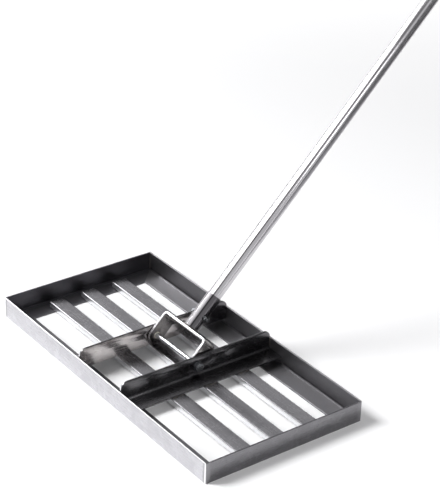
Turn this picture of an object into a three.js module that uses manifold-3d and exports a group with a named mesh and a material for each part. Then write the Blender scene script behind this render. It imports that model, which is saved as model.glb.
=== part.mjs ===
// Lawn leveling rake: a welded steel frame with three leveling bars, pushed and pulled by a tilting handle.
// Millimetres. X runs along the frame's long side, Y from the front rail to the rear rail, Z up.
// The origin is on the ground, under the middle of the front rail's foot.

import * as THREE from 'three';
import { mergeVertices, toCreasedNormals } from 'three/addons/utils/BufferGeometryUtils.js';
import Module from 'manifold-3d';

const wasm = await Module();
wasm.setup();

// Driving dimensions: frame of angle rails, wall outside and foot turned in at the bottom
const frameLength = 800;
const frameWidth = 410;
const railHeight = 50;
const railFoot = 50;
const railWall = 4;
const railRootFillet = 6;
const railToeRadius = 2;

// Leveling bars: rectangular tube, laid flat on the end rails' feet
const barNames = ['front', 'middle', 'rear'];
const barWidth = 38;
const barHeight = 15;
const barWall = 1.5;
const barCornerRadius = 2.5;
const barSeat = 20; // length of each end that lies on a foot
const barOffset = 5; // of the set of bars from the middle of the frame, towards the rear rail

// Cross members: angle standing on the bars, web towards the yoke and foot outwards
const memberSpan = 160; // clear width between the two webs
const memberHeight = 50;
const memberFoot = 50;
const memberWall = 4;
const memberRootFillet = 6;
const memberToeRadius = 2;
const memberCornerRadius = 17;

// Yoke: U of flat strip, open at the bottom, with round arm ends about the pivot
const yokeWidth = 40;
const yokeThickness = 6;
const yokeInnerBend = 3;
const yokeReach = 57; // from the pivot to the outer face of the bridge
const yokeBarClearance = 5.3; // from the arm ends down to the bars

// Pivot: long hex bolt through both webs, turning in flanged bushes in the yoke's arms
const pivotBolt = { diameter: 12, headFlats: 19, headHeight: 7.5, pointLength: 5 };
const pivotNut = { flats: 19, hexHeight: 9, collarDiameter: 16.5, collarHeight: 3 };
const pivotWasher = { diameter: 24, thickness: 2.5 };
const bushWall = 1.7;
const bushFlangeDiameter = 22;
const bushFlangeThickness = 1.5;

// Handle socket, welded on the yoke's bridge
const socketLength = 90;
const socketWall = 1.7;
const socketWeldLeg = 4;
const socketBoltReach = 94; // from the pivot to the cross bolt
const socketBolt = { diameter: 8, headFlats: 13, headHeight: 5.3, pointLength: 2 };
const socketNut = { flats: 13, hexHeight: 6, collarDiameter: 11, collarHeight: 2 };
const socketWasher = { diameter: 16, thickness: 1.6 };

// Handle: two lengths of round tube joined by an inner sleeve
const handleTilt = 45; // degrees above the ground, leaning back over the rear rail
const tubeDiameter = 32;
const tubeWall = 1.5;
const lowerTubeLength = 1000;
const upperTubeLength = 772;
const spigotLength = 160;
const spigotWall = 2;
const spigotBoltOffset = 45; // from the joint between the two tubes
const spigotBolt = { diameter: 6, headFlats: 10, headHeight: 4, pointLength: 1.5 };
const spigotNut = { flats: 10, hexHeight: 5, collarDiameter: 8.5, collarHeight: 1.5 };

// Grip and end cap
const gripLength = 200;
const gripWall = 4;
const gripEndRadius = 3;
const capHeight = 5;
const capPlugLength = 22;
const capPlugWall = 2;

// Clearances
const weldGap = 0.3; // between two pieces that a weld joins
const seatGap = 0.3; // between two pieces that rest against each other
const slideGap = 0.3; // all round a tube inside a tube
const boltGap = 0.3; // all round a bolt in its hole
const pressGap = 0.3; // all round a bush in its bore

// Resolution
const arcSteps = 3;
const endArcSteps = 12;
const tubeSides = 36;
const smallSides = 24;
const overcut = 1; // how far a cutting shape runs past what it cuts

// Worked out from the driving dimensions
const barLength = frameLength - 2 * railFoot + 2 * barSeat;
const barCount = barNames.length;
const barSpace = (frameWidth - 2 * railFoot - barCount * barWidth) / (barCount + 1);
const barBottom = railWall + seatGap;
const barTop = barBottom + barHeight;
const memberBottom = barTop + seatGap;
const memberLength = frameWidth - 2 * railWall - 2 * weldGap;
const pivotHeight = barTop + yokeBarClearance + yokeWidth / 2;
const pivotHoleRadius = pivotBolt.diameter / 2 + boltGap;
const bushRadius = pivotHoleRadius + bushWall;
const yokeHalfWidth = memberSpan / 2 - bushFlangeThickness - 2 * seatGap;
const socketBoreRadius = tubeDiameter / 2 + slideGap;
const socketRadius = socketBoreRadius + socketWall;
const socketStart = yokeReach + weldGap;
const tubeBoreRadius = tubeDiameter / 2 - tubeWall;
const tubeJoint = socketStart + lowerTubeLength + seatGap / 2;
const tubeEnd = tubeJoint + seatGap / 2 + upperTubeLength;
const plugRadius = tubeBoreRadius - slideGap;

const steel = { color: 0xc4c5c8, roughness: 0.2, metalness: 1 };
const zinc = { color: 0xb4b7ba, roughness: 0.32, metalness: 1 };
const nylon = { color: 0xd9d6cc, roughness: 0.55, metalness: 0 };
const foam = { color: 0x1d1d1f, roughness: 0.85, metalness: 0 };
const rubber = { color: 0x161617, roughness: 0.6, metalness: 0 };

// Shapes

function extruded(outline, length, steps = arcSteps) {
  const settings = { depth: length, bevelEnabled: false, curveSegments: steps };
  return new THREE.ExtrudeGeometry(outline, settings).translate(0, 0, -length / 2);
}

// The outline's x and y become Y and Z
function extrudedAlongX(outline, length, steps) {
  return extruded(outline, length, steps).rotateX(Math.PI / 2).rotateZ(Math.PI / 2);
}

// The outline's x and y become X and Z
function extrudedAlongY(outline, length, steps) {
  return extruded(outline, length, steps).rotateX(Math.PI / 2);
}

// A profile of [radius, height] points turned about Z
function turned(profile, sides) {
  const points = profile.map(([radius, height]) => new THREE.Vector2(radius, height));
  return new THREE.LatheGeometry(points, sides).rotateX(Math.PI / 2);
}

// A ring standing on z = 0
function ring(outerRadius, innerRadius, height, sides = smallSides) {
  const profile = [
    [innerRadius, 0],
    [outerRadius, 0],
    [outerRadius, height],
    [innerRadius, height],
    [innerRadius, 0],
  ];
  return turned(profile, sides);
}

// A plain rod along X about the origin, for cross holes
function crossRod(radius, length) {
  return new THREE.CylinderGeometry(radius, radius, length, smallSides).rotateZ(Math.PI / 2);
}

function roundedRectangle(path, width, height, radius) {
  const x = width / 2 - radius;
  const y = height / 2 - radius;
  path.moveTo(x, -height / 2);
  path.absarc(x, -y, radius, -Math.PI / 2, 0, false);
  path.absarc(x, y, radius, 0, Math.PI / 2, false);
  path.absarc(-x, y, radius, Math.PI / 2, Math.PI, false);
  path.absarc(-x, -y, radius, Math.PI, 1.5 * Math.PI, false);
  path.closePath();
  return path;
}

// Joining and cutting

function bodyOf(geometry) {
  const bare = geometry.clone();
  bare.deleteAttribute('normal');
  bare.deleteAttribute('uv');
  const merged = mergeVertices(bare, 1e-4);
  const vertProperties = new Float32Array(merged.attributes.position.array);
  const triVerts = new Uint32Array(merged.index.array);
  return new wasm.Manifold(new wasm.Mesh({ numProp: 3, vertProperties, triVerts }));
}

function geometryOf(body) {
  const mesh = body.getMesh();
  const geometry = new THREE.BufferGeometry();
  geometry.setAttribute('position', new THREE.BufferAttribute(mesh.vertProperties, mesh.numProp));
  geometry.setIndex(new THREE.BufferAttribute(mesh.triVerts, 1));
  return toCreasedNormals(geometry, Math.PI / 6);
}

function cut(geometry, ...cutters) {
  let body = bodyOf(geometry);
  for (const cutter of cutters) body = body.subtract(bodyOf(cutter));
  return geometryOf(body);
}

// Hot-rolled angle: heel at the origin, foot along +x, wall along +y
function angleSection(foot, height, wall, rootFillet, toeRadius) {
  const toe = Math.min(toeRadius, wall);
  const outline = new THREE.Shape();
  outline.moveTo(0, 0);
  outline.lineTo(foot, 0);
  outline.absarc(foot - toe, wall - toe, toe, 0, Math.PI / 2, false);
  outline.absarc(wall + rootFillet, wall + rootFillet, rootFillet, -Math.PI / 2, -Math.PI, true);
  outline.absarc(wall - toe, height - toe, toe, 0, Math.PI / 2, false);
  outline.lineTo(0, height);
  outline.closePath();
  return outline;
}

// Rail along X, outer face on y = 0 and foot towards +y, both ends mitred at 45 degrees
function railGeometry(length) {
  const section = angleSection(railFoot, railHeight, railWall, railRootFillet, railToeRadius);
  const geometry = extrudedAlongX(section, length);
  const points = geometry.attributes.position;
  const setback = weldGap / Math.SQRT2;
  for (let i = 0; i < points.count; i += 1) {
    const x = points.getX(i);
    points.setX(i, x - Math.sign(x) * (points.getY(i) + setback));
  }
  return toCreasedNormals(geometry, Math.PI / 6);
}

function barGeometry() {
  const outline = roundedRectangle(new THREE.Shape(), barWidth, barHeight, barCornerRadius);
  const boreRadius = Math.max(barCornerRadius - barWall, 0.2);
  const boreWidth = barWidth - 2 * barWall;
  const boreHeight = barHeight - 2 * barWall;
  outline.holes.push(roundedRectangle(new THREE.Path(), boreWidth, boreHeight, boreRadius));
  return extrudedAlongX(outline, barLength);
}

// Web seen from the side, with rounded upper corners, drawn about the middle of its length
function webOutline() {
  const half = memberLength / 2;
  const corner = memberCornerRadius;
  const outline = new THREE.Shape();
  outline.moveTo(-half, -overcut);
  outline.lineTo(half, -overcut);
  outline.absarc(half - corner, memberHeight - corner, corner, 0, Math.PI / 2, false);
  outline.absarc(-half + corner, memberHeight - corner, corner, Math.PI / 2, Math.PI, false);
  outline.closePath();
  return outline;
}

// Member along X, web face on y = 0 and foot towards +y
function memberGeometry() {
  const section = angleSection(memberFoot, memberHeight, memberWall, memberRootFillet, memberToeRadius);
  const trim = bodyOf(extrudedAlongY(webOutline(), 2 * (memberFoot + overcut), endArcSteps / 2));
  const hole = crossRod(pivotHoleRadius, 2 * (memberWall + overcut)).rotateZ(Math.PI / 2);
  hole.translate(0, 0, pivotHeight - memberBottom);
  const body = bodyOf(extrudedAlongX(section, memberLength)).intersect(trim);
  return geometryOf(body.subtract(bodyOf(hole)));
}

// Yoke in its own frame: pivot along X through the origin, handle along +Z
function yokeGeometry() {
  const outer = yokeHalfWidth;
  const inner = outer - yokeThickness;
  const innerBend = yokeInnerBend;
  const outerBend = innerBend + yokeThickness;
  const armEnd = -yokeWidth / 2 - overcut;
  const shoulder = yokeReach - outerBend;
  const strip = new THREE.Shape();
  strip.moveTo(inner, armEnd);
  strip.lineTo(outer, armEnd);
  strip.absarc(outer - outerBend, shoulder, outerBend, 0, Math.PI / 2, false);
  strip.absarc(-outer + outerBend, shoulder, outerBend, Math.PI / 2, Math.PI, false);
  strip.lineTo(-outer, armEnd);
  strip.lineTo(-inner, armEnd);
  strip.absarc(-inner + innerBend, shoulder, innerBend, Math.PI, Math.PI / 2, true);
  strip.absarc(inner - innerBend, shoulder, innerBend, Math.PI / 2, 0, true);
  strip.closePath();

  const side = new THREE.Shape();
  side.moveTo(-yokeWidth / 2, yokeReach + overcut);
  side.absarc(0, 0, yokeWidth / 2, Math.PI, 2 * Math.PI, false);
  side.lineTo(yokeWidth / 2, yokeReach + overcut);
  side.closePath();

  const folded = bodyOf(extrudedAlongY(strip, yokeWidth + 2 * overcut, 2 * arcSteps));
  const armEnds = bodyOf(extrudedAlongX(side, 2 * (outer + overcut), endArcSteps));
  const bores = bodyOf(crossRod(bushRadius + pressGap, 2 * (outer + overcut)));
  return geometryOf(folded.intersect(armEnds).subtract(bores));
}

// Flanged bush along Z: the flange stands past z = 0, the barrel runs back through the arm
function bushGeometry() {
  const profile = [
    [pivotHoleRadius, -yokeThickness - seatGap],
    [bushRadius, -yokeThickness - seatGap],
    [bushRadius, 0],
    [bushFlangeDiameter / 2, 0],
    [bushFlangeDiameter / 2, bushFlangeThickness],
    [pivotHoleRadius, bushFlangeThickness],
    [pivotHoleRadius, -yokeThickness - seatGap],
  ];
  return turned(profile, tubeSides);
}

// Fasteners lie along Z, bearing face on z = 0

// Hexagon with its far face chamfered at 30 degrees
function hexBody(flats, height) {
  const cornerRadius = flats / Math.sqrt(3);
  const faceRadius = 0.475 * flats;
  const rim = cornerRadius + overcut;
  const prism = new THREE.CylinderGeometry(cornerRadius, cornerRadius, height, 6);
  prism.rotateX(Math.PI / 2).translate(0, 0, height / 2);
  const chamfer = turned([
    [0, 0],
    [rim, 0],
    [rim, height - (rim - faceRadius) * Math.tan(Math.PI / 6)],
    [faceRadius, height],
    [0, height],
  ], smallSides);
  return bodyOf(prism).intersect(bodyOf(chamfer));
}

function boltGeometry(bolt, grip, nutHeight) {
  const radius = bolt.diameter / 2;
  const tip = -(grip + nutHeight + bolt.pointLength);
  const bevel = radius / 6;
  const shank = turned([
    [0, tip],
    [radius - bevel, tip],
    [radius, tip + bevel],
    [radius, bolt.headHeight / 2],
    [0, bolt.headHeight / 2],
  ], smallSides);
  return geometryOf(hexBody(bolt.headFlats, bolt.headHeight).add(bodyOf(shank)));
}

function nutHeightOf(nut) {
  return nut.hexHeight + nut.collarHeight;
}

function nutGeometry(nut, bolt) {
  const height = nutHeightOf(nut);
  const bevel = nut.collarHeight / 3;
  const collarRadius = nut.collarDiameter / 2;
  const collar = turned([
    [0, nut.hexHeight / 2],
    [collarRadius, nut.hexHeight / 2],
    [collarRadius, height - bevel],
    [collarRadius - bevel, height],
    [0, height],
  ], smallSides);
  const bore = ring(bolt.diameter / 2 + boltGap, 0, height + 2 * overcut).translate(0, 0, -overcut);
  const body = hexBody(nut.flats, nut.hexHeight).add(bodyOf(collar));
  return geometryOf(body.subtract(bodyOf(bore)));
}

function washerGeometry(washer, bolt) {
  return ring(washer.diameter / 2, bolt.diameter / 2 + boltGap, washer.thickness);
}

// Round tube along Z from z = 0, drilled across X at the given heights
function tubeGeometry(outerRadius, innerRadius, length, bolt, heights) {
  const drills = heights.map((height) => {
    return crossRod(bolt.diameter / 2 + boltGap, 2 * (outerRadius + overcut)).translate(0, 0, height);
  });
  return cut(ring(outerRadius, innerRadius, length, tubeSides), ...drills);
}

// Fillet weld round the socket's foot
function socketWeldGeometry() {
  const foot = socketRadius + weldGap;
  return turned([
    [foot, 0],
    [foot + socketWeldLeg, 0],
    [foot + 0.4 * socketWeldLeg, 0.4 * socketWeldLeg],
    [foot, socketWeldLeg],
    [foot, 0],
  ], tubeSides);
}

function gripGeometry() {
  const inner = tubeDiameter / 2 + slideGap;
  const outer = inner + gripWall;
  const round = gripEndRadius;
  const arc = (centre, start) => [0, 1, 2, 3].map((step) => {
    const angle = start + (step * Math.PI) / 6;
    return [outer - round + round * Math.cos(angle), centre + round * Math.sin(angle)];
  });
  const profile = [
    [inner, 0],
    ...arc(round, -Math.PI / 2),
    ...arc(gripLength - round, 0),
    [inner, gripLength],
    [inner, 0],
  ];
  return turned(profile, tubeSides);
}

// Cap over the tube's end, with a hollow plug inside the tube
function capGeometry() {
  const rimRadius = tubeDiameter / 2 + slideGap + gripWall;
  return turned([
    [0, 0],
    [plugRadius - capPlugWall, 0],
    [plugRadius - capPlugWall, -capPlugLength],
    [plugRadius, -capPlugLength],
    [plugRadius, 0],
    [rimRadius, 0],
    [rimRadius, 0.4 * capHeight],
    [rimRadius - 0.3 * capHeight, 0.8 * capHeight],
    [rimRadius - 0.8 * capHeight, capHeight],
    [0, capHeight],
  ], tubeSides);
}

// Assembly

function addPiece(parent, name, geometry, finish, [x, y, z] = [0, 0, 0]) {
  const mesh = new THREE.Mesh(geometry, new THREE.MeshStandardMaterial(finish));
  mesh.name = name;
  mesh.position.set(x, y, z);
  parent.add(mesh);
  return mesh;
}

// A fastener laid along X: side 1 points its outer end to +X, side -1 to -X
function addAcross(parent, name, geometry, finish, side, position) {
  const mesh = addPiece(parent, name, geometry, finish, position);
  mesh.rotation.y = (side * Math.PI) / 2;
  return mesh;
}

// Frame, bars, members and pivot, about the middle of the frame
function buildHead() {
  const head = new THREE.Group();
  const rails = [
    ['front_rail', frameLength, 0, [0, -frameWidth / 2, 0]],
    ['rear_rail', frameLength, Math.PI, [0, frameWidth / 2, 0]],
    ['left_end_rail', frameWidth, -Math.PI / 2, [-frameLength / 2, 0, 0]],
    ['right_end_rail', frameWidth, Math.PI / 2, [frameLength / 2, 0, 0]],
  ];
  for (const [name, length, turn, position] of rails) {
    addPiece(head, name, railGeometry(length), steel, position).rotation.z = turn;
  }

  barNames.forEach((name, index) => {
    const y = barOffset + (index - (barCount - 1) / 2) * (barWidth + barSpace);
    addPiece(head, `leveling_bar_${name}`, barGeometry(), steel, [0, y, barBottom + barHeight / 2]);
  });

  for (const [name, side] of [['left', -1], ['right', 1]]) {
    const place = [(side * memberSpan) / 2, 0, memberBottom];
    const member = addPiece(head, `cross_member_${name}`, memberGeometry(), steel, place);
    member.rotation.z = (-side * Math.PI) / 2;
  }

  const webFace = memberSpan / 2 + memberWall;
  const washerFace = webFace + seatGap;
  const bearing = washerFace + pivotWasher.thickness + seatGap;
  const washer = washerGeometry(pivotWasher, pivotBolt);
  const bolt = boltGeometry(pivotBolt, 2 * bearing, nutHeightOf(pivotNut));
  addAcross(head, 'pivot_bolt', bolt, zinc, 1, [bearing, 0, pivotHeight]);
  addAcross(head, 'pivot_washer_right', washer, zinc, 1, [washerFace, 0, pivotHeight]);
  addAcross(head, 'pivot_washer_left', washer.clone(), zinc, -1, [-washerFace, 0, pivotHeight]);
  const nut = nutGeometry(pivotNut, pivotBolt);
  addAcross(head, 'pivot_lock_nut', nut, zinc, -1, [-bearing, 0, pivotHeight]);
  return head;
}

// Yoke, socket, tubes and grip, with the pivot at the origin and the handle along +Z
function buildHandle() {
  const handle = new THREE.Group();
  addPiece(handle, 'yoke', yokeGeometry(), steel);
  for (const [name, side] of [['left', -1], ['right', 1]]) {
    const place = [side * (yokeHalfWidth + seatGap), 0, 0];
    addAcross(handle, `pivot_bush_${name}`, bushGeometry(), nylon, side, place);
  }

  const socketDrill = [socketBoltReach - socketStart];
  const socket = tubeGeometry(socketRadius, socketBoreRadius, socketLength, socketBolt, socketDrill);
  addPiece(handle, 'handle_socket', socket, steel, [0, 0, socketStart]);
  addPiece(handle, 'socket_weld', socketWeldGeometry(), steel, [0, 0, socketStart]);
  addCrossBolt(handle, 'socket', socketRadius, socketBoltReach, socketBolt, socketNut, socketWasher);

  const tubeRadius = tubeDiameter / 2;
  const drillLow = tubeJoint - spigotBoltOffset;
  const drillHigh = tubeJoint + spigotBoltOffset;
  const upperStart = tubeJoint + seatGap / 2;
  const lower = cut(
    tubeGeometry(tubeRadius, tubeBoreRadius, lowerTubeLength, spigotBolt, [drillLow - socketStart]),
    crossRod(socketBolt.diameter / 2 + boltGap, tubeDiameter + 2 * overcut).translate(0, 0, socketDrill[0]),
  );
  const upper = tubeGeometry(tubeRadius, tubeBoreRadius, upperTubeLength, spigotBolt, [drillHigh - upperStart]);
  addPiece(handle, 'handle_tube_lower', lower, steel, [0, 0, socketStart]);
  addPiece(handle, 'handle_tube_upper', upper, steel, [0, 0, upperStart]);

  const drills = [-spigotBoltOffset, spigotBoltOffset].map((offset) => spigotLength / 2 + offset);
  const spigot = tubeGeometry(plugRadius, plugRadius - spigotWall, spigotLength, spigotBolt, drills);
  addPiece(handle, 'tube_spigot', spigot, steel, [0, 0, tubeJoint - spigotLength / 2]);
  addCrossBolt(handle, 'spigot_lower', tubeRadius, drillLow, spigotBolt, spigotNut);
  addCrossBolt(handle, 'spigot_upper', tubeRadius, drillHigh, spigotBolt, spigotNut);

  addPiece(handle, 'grip', gripGeometry(), foam, [0, 0, tubeEnd - gripLength]);
  addPiece(handle, 'end_cap', capGeometry(), rubber, [0, 0, tubeEnd + seatGap]);
  return handle;
}

// Bolt through a tube along X, head on the left and nut on the right, with or without washers
function addCrossBolt(parent, name, radius, reach, bolt, nut, washer) {
  const face = radius + seatGap;
  const bearing = washer ? face + washer.thickness + seatGap : face;
  const shank = boltGeometry(bolt, 2 * bearing, nutHeightOf(nut));
  addAcross(parent, `${name}_bolt`, shank, zinc, -1, [-bearing, 0, reach]);
  addAcross(parent, `${name}_nut`, nutGeometry(nut, bolt), zinc, 1, [bearing, 0, reach]);
  if (!washer) return;
  addAcross(parent, `${name}_washer_left`, washerGeometry(washer, bolt), zinc, -1, [-face, 0, reach]);
  addAcross(parent, `${name}_washer_right`, washerGeometry(washer, bolt), zinc, 1, [face, 0, reach]);
}

const frameCentre = frameWidth / 2 - railFoot / 2;
const head = buildHead();
head.position.set(0, frameCentre, 0);

const handle = buildHandle();
handle.position.set(0, frameCentre, pivotHeight);
handle.rotation.x = THREE.MathUtils.degToRad(handleTilt - 90);

const rake = new THREE.Group();
rake.name = 'lawn_leveling_rake';
rake.add(head, handle);

export default rake;
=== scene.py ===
# Looks, studio and camera for the lawn leveling rake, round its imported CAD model.
# X runs along the front rail, Y from the front rail to the rear rail, Z up, and the origin is under
# the front rail. Solids are made in millimetres, and finished() turns them into metres. What the
# Geometry Nodes trees make, and the studio, are in metres from the start.

import math

import bmesh
import bpy
from mathutils import Matrix, Vector


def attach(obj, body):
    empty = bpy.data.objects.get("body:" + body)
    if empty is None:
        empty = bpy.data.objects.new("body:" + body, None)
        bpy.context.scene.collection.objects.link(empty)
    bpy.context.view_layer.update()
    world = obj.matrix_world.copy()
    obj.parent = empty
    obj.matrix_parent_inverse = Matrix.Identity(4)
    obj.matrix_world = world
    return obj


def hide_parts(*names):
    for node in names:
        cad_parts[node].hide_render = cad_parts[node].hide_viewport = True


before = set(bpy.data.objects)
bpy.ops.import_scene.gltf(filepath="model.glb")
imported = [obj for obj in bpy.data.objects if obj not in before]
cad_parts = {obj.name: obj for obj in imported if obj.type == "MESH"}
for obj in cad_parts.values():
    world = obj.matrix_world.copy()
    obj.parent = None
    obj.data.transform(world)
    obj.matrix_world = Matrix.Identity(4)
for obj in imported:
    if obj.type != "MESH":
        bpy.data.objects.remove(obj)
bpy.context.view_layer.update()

# Sizes, as in the CAD model. Some gaps that stand in for a weld there are closed here.

GAP = 0.3

FRAME_LENGTH = 800
FRAME_WIDTH = 410
FRAME_MIDDLE = 180
# Rails and cross members are cut from the same angle
ANGLE = {"height": 50, "foot": 50, "wall": 4, "root": 6, "toe": 2}
RAIL_CORNER_RADIUS = 3

BAR_NAMES = ("front", "middle", "rear")
BAR_LENGTH = 740
BAR_WIDTH = 38
BAR_HEIGHT = 15
BAR_WALL = 1.5
BAR_CORNER_RADIUS = 2.5
BAR_OFFSET = 5
BAR_PITCH = 87
BAR_BOTTOM = 4
BAR_TOP = BAR_BOTTOM + GAP + BAR_HEIGHT

MEMBER_SPAN = 160
MEMBER_BOTTOM = 19.4
MEMBER_LENGTH = 401.4
MEMBER_CORNER_RADIUS = 17
MEMBER_HOLE_RADIUS = 6.2

PIVOT_HEIGHT = 44.6
PIVOT_BEARING = 87.1
YOKE_WIDTH = 40
YOKE_THICKNESS = 6
YOKE_HALF_SPAN = 77.9
YOKE_REACH = 57
YOKE_INNER_BEND = 5

BUSH_RADIUS = 8
YOKE_HOLE_RADIUS = BUSH_RADIUS + 0.1
BUSH_BORE_RADIUS = 6.3
BUSH_FLANGE_RADIUS = 11
BUSH_FLANGE_THICKNESS = 1.5

SOCKET_START = 57.3
SOCKET_LENGTH = 90
SOCKET_RADIUS = 18
SOCKET_BORE_RADIUS = 16.3
SOCKET_HOLE_RADIUS = 4.2
SOCKET_BOLT_REACH = 94
SOCKET_BEARING = 20.2
WELD_LEG = 4

TUBE_RADIUS = 16
TUBE_BORE_RADIUS = 14.5
TUBE_JOINT = 1057.45
TUBE_JOINT_GAP = 0.1
TUBE_END = 1829.6
SPIGOT_BOLT_OFFSET = 45
SPIGOT_BEARING = 16.3
HANDLE_TILT = 45

GRIP_LENGTH = 200
GRIP_RADIUS = 20
GRIP_BORE_RADIUS = 16.3
CAP_HEIGHT = 5
CAP_PLUG_LENGTH = 22
CAP_PLUG_RADIUS = 14.2

# Screws: point is the length that stands out of the lock nut's collar
M12 = {
    "radius": 6, "pitch": 1.75, "flats": 19, "head": 7.5,
    "nut": 9, "collar": 3, "collar_radius": 8.25, "point": 5,
}
M8 = {
    "radius": 4, "pitch": 1.25, "flats": 13, "head": 5.3,
    "nut": 6, "collar": 2, "collar_radius": 5.5, "point": 2,
}
M6 = {
    "radius": 3, "pitch": 1.0, "flats": 10, "head": 4,
    "nut": 5, "collar": 1.5, "collar_radius": 4.25, "point": 1.5,
}
PIVOT_WASHER = {"radius": 12, "bore": 6.3, "thickness": 2.5, "face": 84.3}
SOCKET_WASHER = {"radius": 8, "bore": 4.3, "thickness": 1.6, "face": 18.3}

# Sides of round solids, and how far a cutting outline or tool goes past what it cuts
ROUND_SIDES = 96
THREAD_SIDES = 36
HOLE_SIDES = 48
FASTENER_SIDES = 64
OVERCUT = 5

# Width of the small round on deburred edges, and the angle in degrees above which an edge gets it
EASED_WIDTH = 0.5
EASED_ABOVE = 50

HANDLE_PLACE = Matrix.Translation((0, FRAME_MIDDLE, PIVOT_HEIGHT)) @ Matrix.Rotation(
    math.radians(-HANDLE_TILT), 4, "X"
)


# Outlines and solids


def rounded(corners, steps=6):
    """Outline through corners given as (x, y, radius), each one turned into an arc."""
    outline = []
    for index, (x, y, radius) in enumerate(corners):
        corner = Vector((x, y))
        if not radius:
            outline.append(corner)
            continue
        before = (Vector(corners[index - 1][:2]) - corner).normalized()
        after = (Vector(corners[(index + 1) % len(corners)][:2]) - corner).normalized()
        half = before.angle(after) / 2
        centre = corner + (before + after).normalized() * radius / math.sin(half)
        start = corner + before * radius / math.tan(half) - centre
        end = corner + after * radius / math.tan(half) - centre
        sweep = math.atan2(start.x * end.y - start.y * end.x, start.dot(end))
        for step in range(steps + 1):
            turn = Matrix.Rotation(sweep * step / steps, 2)
            outline.append(centre + turn @ start)
    return outline


def angle_section():
    """Hot-rolled angle: heel at the origin, foot along +x, wall along +y."""
    height, foot, wall, root, toe = ANGLE.values()
    return rounded([
        (0, 0, 0.8), (foot, 0, 0.6), (foot, wall, toe),
        (wall, wall, root), (wall, height, toe), (0, height, 1.0),
    ])


def bridge(body, low, high):
    """Faces between two rings of vertices with the same count."""
    for index in range(len(low)):
        after = (index + 1) % len(low)
        body.faces.new((low[index], low[after], high[after], high[index]))


def loft(rings):
    """Closed solid through rings of points, all with the same count."""
    body = bmesh.new()
    loops = [[body.verts.new(point) for point in ring] for ring in rings]
    for low, high in zip(loops, loops[1:]):
        bridge(body, low, high)
    body.faces.new(reversed(loops[0]))
    body.faces.new(loops[-1])
    return body


def prism(outline, axis, low, high):
    """Solid of one outline along X or Y. The outline's x and y are the other two axes, in order."""
    if axis == "X":
        return loft([[(end, x, y) for x, y in outline] for end in (low, high)])
    return loft([[(x, end, y) for x, y in outline] for end in (low, high)])


def turned(profile, sides=ROUND_SIDES):
    """Solid turned about Z from a closed profile of (radius, height)."""
    body = bmesh.new()
    columns = []
    for radius, height in profile:
        if radius < 1e-6:
            columns.append([body.verts.new((0, 0, height))] * sides)
            continue
        turns = [2 * math.pi * side / sides for side in range(sides)]
        circle = [(radius * math.cos(turn), radius * math.sin(turn), height) for turn in turns]
        columns.append([body.verts.new(point) for point in circle])
    for index, column in enumerate(columns):
        following = columns[(index + 1) % len(columns)]
        for side in range(sides):
            after = (side + 1) % sides
            corners = [column[side], column[after], following[after], following[side]]
            distinct = list(dict.fromkeys(corners))
            if len(distinct) > 2:
                body.faces.new(distinct)
    return body


def eased_ring(outer, inner, low, high, ease):
    """Profile of a round ring with small chamfers on its four edges."""
    return [
        (inner, low + ease), (inner + ease, low), (outer - ease, low), (outer, low + ease),
        (outer, high - ease), (outer - ease, high), (inner + ease, high), (inner, high - ease),
    ]


def quarter_round(reach, level, width, height, start, steps):
    """Profile of a quarter ellipse about (reach, level), from start degrees on."""
    profile = []
    for step in range(steps + 1):
        turn = math.radians(start + 90 * step / steps)
        profile.append((reach + width * math.cos(turn), level + height * math.sin(turn)))
    return profile


def meshed(name, body):
    """Mesh of a body, which is used up."""
    mesh = bpy.data.meshes.new(name)
    body.to_mesh(mesh)
    body.free()
    return mesh


def placed(name, data):
    """New object in the scene."""
    item = bpy.data.objects.new(name, data)
    bpy.context.scene.collection.objects.link(item)
    return item


def joined(*bodies):
    """All bodies in one, without merging their walls."""
    whole = bmesh.new()
    for body in bodies:
        part = meshed("part", body)
        whole.from_mesh(part)
        bpy.data.meshes.remove(part)
    return whole


def combined(body, tool, operation):
    """Body and tool put through an exact DIFFERENCE or INTERSECT."""
    clean(body)
    clean(tool)
    workpiece = placed("body", meshed("body", body))
    step = workpiece.modifiers.new("step", "BOOLEAN")
    step.operation = operation
    step.solver = "EXACT"
    step.object = placed("tool", meshed("tool", tool))
    graph = bpy.context.evaluated_depsgraph_get()
    mesh = bpy.data.meshes.new_from_object(workpiece.evaluated_get(graph))
    shaped = bmesh.new()
    shaped.from_mesh(mesh)
    for used in (mesh, step.object.data, workpiece.data):
        bpy.data.meshes.remove(used)
    return shaped


def clean(body):
    bmesh.ops.remove_doubles(body, verts=body.verts, dist=0.002)
    bmesh.ops.dissolve_degenerate(body, edges=body.edges, dist=0.002)
    bmesh.ops.recalc_face_normals(body, faces=body.faces)


def drilled(body, radius, low, high, level=0, sides=HOLE_SIDES):
    """Body with a round hole along X from low to high, its middle line at a level."""
    drill = turned([(0, low), (radius, low), (radius, high), (0, high)], sides)
    drill.transform(Matrix.Translation((0, 0, level)) @ Matrix.Rotation(math.pi / 2, 4, "Y"))
    return combined(body, drill, "DIFFERENCE")


def turned_about_middle(degrees):
    """Place of a piece of the frame, turned about the frame's middle."""
    return Matrix.Translation((0, FRAME_MIDDLE, 0)) @ Matrix.Rotation(math.radians(degrees), 4, "Z")


def eased(body, segments=2):
    """Sharp edges get a small round, as a deburred edge has."""
    clean(body)
    edges = [
        edge for edge in body.edges
        if len(edge.link_faces) == 2 and edge.calc_face_angle() > math.radians(EASED_ABOVE)
    ]
    bmesh.ops.bevel(
        body, geom=edges, offset=EASED_WIDTH, offset_type="OFFSET", segments=segments, profile=0.5,
        affect="EDGES", clamp_overlap=False,
    )
    return body


def finished(name, body, material, rides, stands_for, place, sharp=30):
    """Turns a solid in millimetres into a piece in metres that rides on a CAD body."""
    clean(body)
    body.transform(place)
    body.transform(Matrix.Scale(0.001, 4))
    return dressed(name, meshed(name, body), material, rides, stands_for, sharp)


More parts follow.
